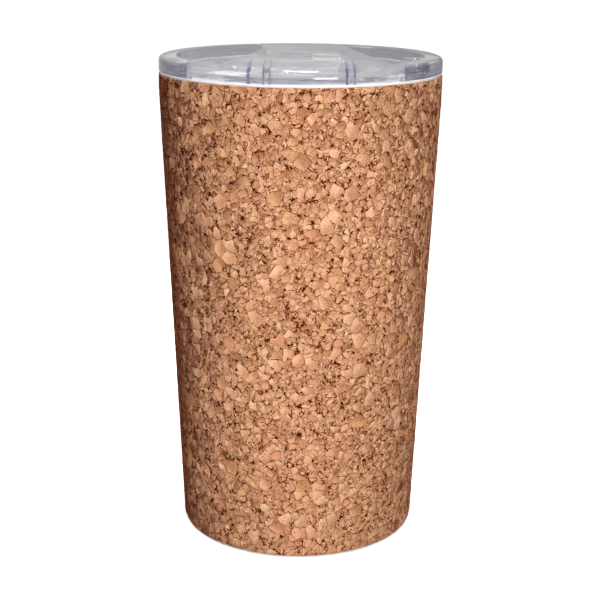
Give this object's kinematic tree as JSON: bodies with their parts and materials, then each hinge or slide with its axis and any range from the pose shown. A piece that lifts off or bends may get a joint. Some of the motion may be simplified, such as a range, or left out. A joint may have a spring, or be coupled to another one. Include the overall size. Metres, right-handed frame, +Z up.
{
  "type": "insulated travel tumbler",
  "caption": "Tapered double-wall tumbler in a granulated cork sleeve, with a clear push-on lid, a sliding drink closure and a vent.",
  "frame": {"origin": "centre of the underside, on the surface that the tumbler stands on", "axes": "+Z up along the tumbler's axis, -Y the front, -X the drinking side of the lid, +X its vent side"},
  "size_m": [0.088, 0.088, 0.1539],
  "materials": {
    "cork": "pressed cork granules of mixed tan, pink and brown, matte",
    "white_coat": "off-white powder coat, satin",
    "steel": "stainless steel, brushed round the axis",
    "solder_glass": "opaque solder glass",
    "getter_metal": "sintered, matte",
    "pad_silicone": "translucent white silicone, matte",
    "clear_plastic": "clear moulded copolyester, glossy, faint violet tint",
    "clear_cover": "clear moulded copolyester, glossy",
    "seal_silicone": "translucent silicone, satin",
    "clear_slider": "clear moulded copolyester, glossy"
  },
  "bodies": {
    "cup": {"cork_wrap": "cork", "outer_wall": "white_coat", "outer_base": "steel", "seal_bead": "solder_glass", "getter": "getter_metal", "getter_clip": "steel", "inner_wall": "steel", "inner_base": "steel", "base_cap": "white_coat", "foot_pad": "pad_silicone"},
    "lid": {"lid_body": "clear_plastic", "lid_bridge": "clear_cover", "lid_gasket": "seal_silicone"},
    "closure": {"slider": "clear_slider"}
  },
  "joints": [
    {"name": "lid_lift", "type": "slide", "parent": "cup", "child": "lid", "axis": [0, 0, 1], "range_m": [0, 0.03]},
    {"name": "closure_slide", "type": "slide", "parent": "lid", "child": "closure", "axis": [-1, 0, 0], "range_m": [0, 0.0144]}
  ]
}
